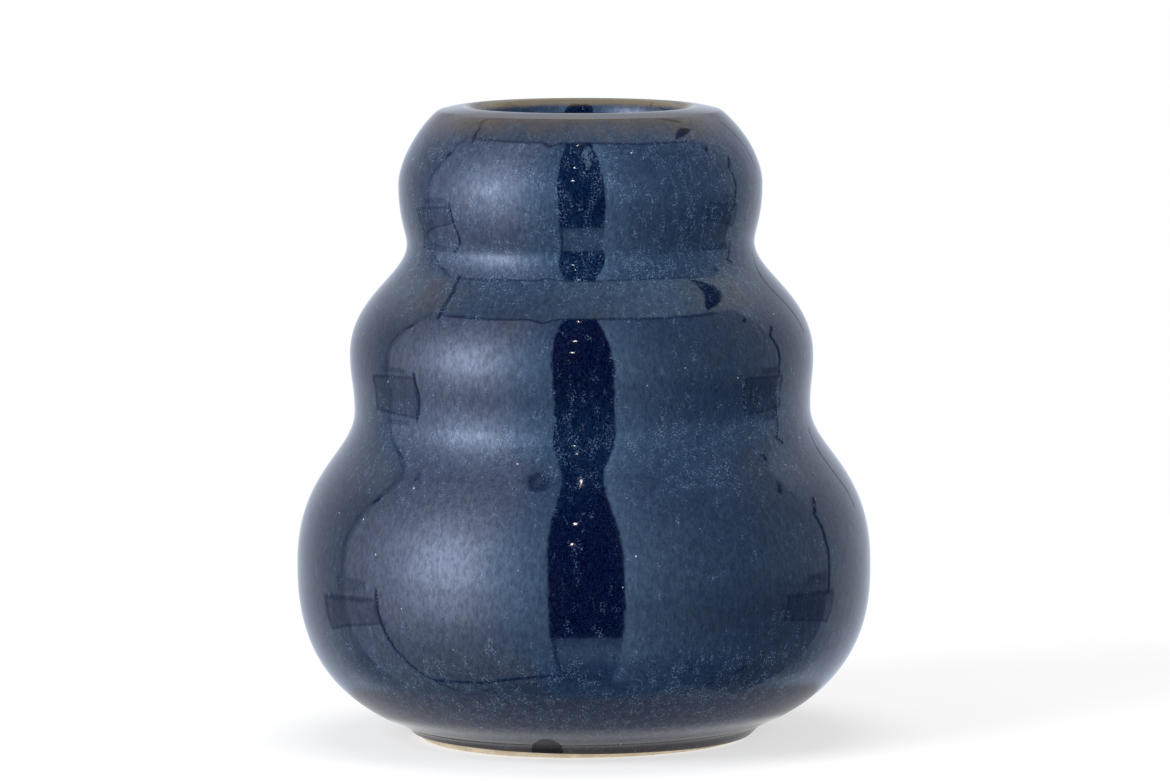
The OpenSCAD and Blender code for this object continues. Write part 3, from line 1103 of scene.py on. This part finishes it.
def plate(net, az, el, low_az, high_az):
    """How dark a plate and its bar are in a direction."""
    whole = net.band(az, low_az, high_az, PLATE_EDGE_AZ) * net.band(el, *PLATE_EL, PLATE_EDGE_EL)
    face = net.band(az, low_az + FACE_INSET, high_az - FACE_INSET, PLATE_EDGE_AZ)
    face = face * net.band(el, *FACE_EL, PLATE_EDGE_EL)
    bar = net.band(az, low_az + BAR_FROM_LOW, high_az - BAR_FROM_HIGH, BAR_EDGE)
    bar = bar * net.band(el, *BAR_EL, BAR_EDGE)
    return net.most(whole * PLATE_DEPTH - face * FACE_PALER, bar * BAR_DEPTH)


def hole(net, az, el):
    """How dark the hole in the cloth is in a direction."""
    half_h = net.ramp(az, *HOLE_WIDENS_AZ) * net.ramp(az, *HOLE_ENDS_AZ, 1, 0) * HOLE_HALF_H
    middle = HOLE_EL + HOLE_SLOPE * (az - HOLE_WIDENS_AZ[0])
    off_middle = net.maths("ABSOLUTE", el - middle - half_h)
    return net.ramp(half_h - off_middle, 0, HOLE_EDGE) * HOLE_DEPTH


def dark_places(net, az, el, ceiling_el):
    """How dark the tent's lines, plates and hole are in a direction, from 0 to 1."""
    dark = net.hump(el - ceiling_el, 0, CEILING_LINE_WIDTH)
    dark = dark * aside(net, az, CEILING_LINE_AZ, CEILING_LINE_DEPTH, 0)
    for a, b, width, depth in SEAMS:
        dark = net.most(dark, seam(net, az, el, a, b, width) * depth)
    for low_az, high_az in PLATES:
        dark = net.most(dark, plate(net, az, el, low_az, high_az))
    return net.most(dark, hole(net, az, el))


def tent_tint(net, az, el, y, on_left, over):
    """The colour of the tent's light in a direction."""
    tint = net.mix(aside(net, az, BACK_TINT_AZ), WALL_TINT, BACK_TINT)
    tint = net.mix(on_left * net.ramp(az, *HOT_TINT_AZ), tint, HOT_TINT)
    off_slit = net.most(net.ramp(az, *LOW_TINT_LEFT_AZ), net.ramp(az, *LOW_TINT_RIGHT_AZ))
    tint = net.mix(net.ramp(el, *LOW_TINT_EL) * off_slit, tint, LOW_TINT)
    overhead = net.mix(net.ramp(y, *CEILING_BACK_Y), CEILING_TINT, CEILING_BACK_TINT)
    return net.mix(over, tint, overhead)


def light_tent(net, direction):
    """What the glaze reflects: the lit cloth of a light tent round the object, open at the camera."""
    x, y, z = net.split(direction)
    az = net.maths("ARCTAN2", x, -y) * math.degrees(1)
    el = net.maths("ARCSINE", z) * math.degrees(1)

    on_left, on_right, on_back, in_slit = wall_shares(net, az, el)
    wall = (
        left_wall(net, az, el) * on_left + right_wall(net, az, el) * on_right
        + back_wall(net, az, el) * on_back + sill_in_slit(net, el) * in_slit)
    ceiling = CEILING_LIGHT * net.ramp(az, *CEILING_FRONT_AZ, *CEILING_FRONT_SHARES)
    ceiling = ceiling * net.ramp(az, *CEILING_RIGHT_AZ, *CEILING_RIGHT_SHARES)
    table = aside(net, az, TABLE_AZ, *TABLE_LIGHTS)
    ceiling_el = ceiling_edge(net, az)
    over = net.ramp(el - ceiling_el, -TENT_EDGE, TENT_EDGE)
    above_table = net.ramp(el, *TABLE_EL)
    light = wall * (1 - over) * above_table + ceiling * over + table * (1 - above_table)
    light = light * (1 - dark_places(net, az, el, ceiling_el))

    colour = net.tint(light, tent_tint(net, az, el, y, on_left, over))
    for lamp_az, lamp_el in TENT_LAMPS:
        off_az = az - lamp_az
        off_el = el - lamp_el
        lamp = TENT_LAMP_LIGHT * net.ramp(off_az * off_az + off_el * off_el, *TENT_LAMP_EDGE)
        colour = net.plus(colour, net.tint(lamp, TENT_LAMP_TINT))
    return colour


def make_world():
    """Matt surfaces are lit by an even grey, the glaze mirrors the tent, and the camera sees white."""
    world = bpy.data.worlds.new("studio")
    bpy.context.scene.world = world
    world.use_nodes = True
    world.cycles.sampling_method = "NONE"
    net = Net(world.node_tree)
    direction = Value(net, net.node("ShaderNodeTexCoord").outputs["Generated"])
    path = net.node("ShaderNodeLightPath")
    seen = Value(net, path.outputs["Is Camera Ray"])
    mirrored = net.least(
        Value(net, path.outputs["Is Glossy Ray"]) + Value(net, path.outputs["Is Transmission Ray"]), 1)
    colour = net.mix(mirrored, AMBIENT, light_tent(net, direction))
    colour = net.mix(seen, colour, WHITE)
    background = net.node("ShaderNodeBackground")
    net.feed(background.inputs["Color"], colour)
    output = net.node("ShaderNodeOutputWorld")
    net.tree.links.new(background.outputs[0], output.inputs["Surface"])


# Soft lamps for matt surfaces: name, place, what it points at, size across, watts and colour
LAMPS = (
    ("key_left", (-1.2, -0.9, 0.9), (0, 0, 0.08), 1.0, 24, (0.97, 0.98, 1.0)),
    ("fill_right", (1.3, -0.9, 0.8), (0, 0, 0.08), 1.0, 11, (1.0, 1.0, 1.0)),
    ("top", (0, 0.1, 1.7), (0, 0, 0), 1.2, 12, (1.0, 1.0, 1.0)))


def area_light(name, place_at, aim, size, watts, colour):
    """A soft lamp that the glaze doesn't mirror and the camera doesn't see."""
    data = bpy.data.lights.new(name, "AREA")
    data.shape = "DISK"
    data.size = size
    data.energy = watts
    data.color = colour
    lamp = bpy.data.objects.new(name, data)
    lamp.location = place_at
    lamp.rotation_euler = (Vector(aim) - Vector(place_at)).to_track_quat("-Z", "Y").to_euler()
    lamp.visible_glossy = False
    lamp.visible_camera = False
    bpy.context.scene.collection.objects.link(lamp)


FLOOR_HALF = 7.0
FLOOR_CELLS = 24
FLOOR_GLOW = 0.60
FLOOR_ALBEDO = 0.40
FLOOR_ROUGH = 0.9
PAPER_SIZE = 0.03
PAPER_CONTRAST = 0.02
WHITE_FADE = (0.22, 0.90)

# What the glaze mirrors of the floor: its light from left to right and off to both sides, a bright ring
# a little way off the foot, and how far out it mirrors the floor at all
MIRRORED_LIGHT = 0.45
MIRRORED_SPAN = (-0.05, 0.05)
MIRRORED_SHARES = (1.2, 0.92)
MIRRORED_SIDES = (0.01 ** 2, 0.035 ** 2)
MIRRORED_SIDE_SHARES = (1.0, 1.1)
RING_LIGHT = 0.33
RING_OUTER_FADE = (0.0605, 0.054)
RING_INNER_DIM = 0.34
RING_INNER_FADE = (0.0540, 0.049)
NEAR_FLOOR_FADE = (0.075, 0.085)


def blended(net, share, under, over):
    """Two shaders, with a share of the second."""
    made = net.node("ShaderNodeMixShader")
    net.feed(made.inputs[0], share)
    net.tree.links.new(under.outputs[0], made.inputs[1])
    net.tree.links.new(over.outputs[0], made.inputs[2])
    return made


def floor_material():
    """Pale floor, lit from below like a light table. It keeps the shadow, and is plain white far out."""
    material, net, shader, where = new_material("pale_floor")
    x, y, z = net.split(where)
    distance = net.maths("SQRT", x * x + y * y)
    path = net.node("ShaderNodeLightPath")
    seen = Value(net, path.outputs["Is Camera Ray"])
    mirrored = Value(net, path.outputs["Is Glossy Ray"])
    paper = net.noise(where, PAPER_SIZE, 3, 0.5, seed=1.0)
    grey = net.node("ShaderNodeCombineColor")
    for socket in grey.inputs[:3]:
        net.feed(socket, FLOOR_ALBEDO + (paper - 0.5) * PAPER_CONTRAST)
    net.feed(shader.inputs["Base Color"], Value(net, grey.outputs[0]))
    shader.inputs["Roughness"].default_value = FLOOR_ROUGH
    shader.inputs["Specular IOR Level"].default_value = 0.0
    shader.inputs["Emission Color"].default_value = WHITE
    shader.inputs["Emission Strength"].default_value = FLOOR_GLOW

    white = net.node("ShaderNodeEmission")
    surface = blended(net, net.ramp(distance, *WHITE_FADE) * seen, shader, white)
    light = MIRRORED_LIGHT * net.ramp(x, *MIRRORED_SPAN, *MIRRORED_SHARES)
    light = light + RING_LIGHT * net.ramp(distance, *RING_OUTER_FADE)
    light = light - RING_INNER_DIM * net.ramp(distance, *RING_INNER_FADE)
    light = light * net.ramp(x * x, *MIRRORED_SIDES, *MIRRORED_SIDE_SHARES)
    glow = net.node("ShaderNodeEmission")
    net.feed(glow.inputs["Strength"], light)
    surface = blended(net, mirrored, surface, glow)
    clear = net.node("ShaderNodeBsdfTransparent")
    surface = blended(net, net.ramp(distance, *NEAR_FLOOR_FADE) * mirrored, surface, clear)
    output = next(n for n in net.tree.nodes if n.type == "OUTPUT_MATERIAL")
    net.tree.links.new(surface.outputs[0], output.inputs["Surface"])
    return material


def make_floor():
    mesh = bpy.data.meshes.new("floor")
    bm = bmesh.new()
    bmesh.ops.create_grid(bm, x_segments=FLOOR_CELLS, y_segments=FLOOR_CELLS, size=FLOOR_HALF)
    bm.to_mesh(mesh)
    bm.free()
    floor = bpy.data.objects.new("floor", mesh)
    floor.data.materials.append(floor_material())
    bpy.context.scene.collection.objects.link(floor)


def make_camera():
    data = bpy.data.cameras.new("camera")
    data.lens = FOCAL_LENGTH_MM
    data.clip_end = CLIP_END
    camera = bpy.data.objects.new("camera", data)
    pitch = math.radians(CAMERA_PITCH)
    back = Vector((0, -math.cos(pitch), math.sin(pitch)))
    camera.location = CAMERA_TARGET + back * CAMERA_DISTANCE
    tilt = Euler((math.pi / 2 - pitch, 0, 0)).to_matrix()
    roll = Euler((0, 0, math.radians(CAMERA_ROLL))).to_matrix()
    camera.rotation_euler = (tilt @ roll).to_euler()
    bpy.context.scene.collection.objects.link(camera)
    bpy.context.scene.camera = camera


make_camera()
bpy.context.scene.view_settings.view_transform = "Standard"

make_clay_body(clay_material())
make_outer_glaze(glaze_material("blue_glaze", outside=True))
make_lip_glaze(glaze_material("lip_glaze"))
make_inner_glaze(glaze_material("inner_glaze"))
make_base_glaze(glaze_material("base_glaze"))

make_world()
make_floor()
for lamp in LAMPS:
    area_light(*lamp)
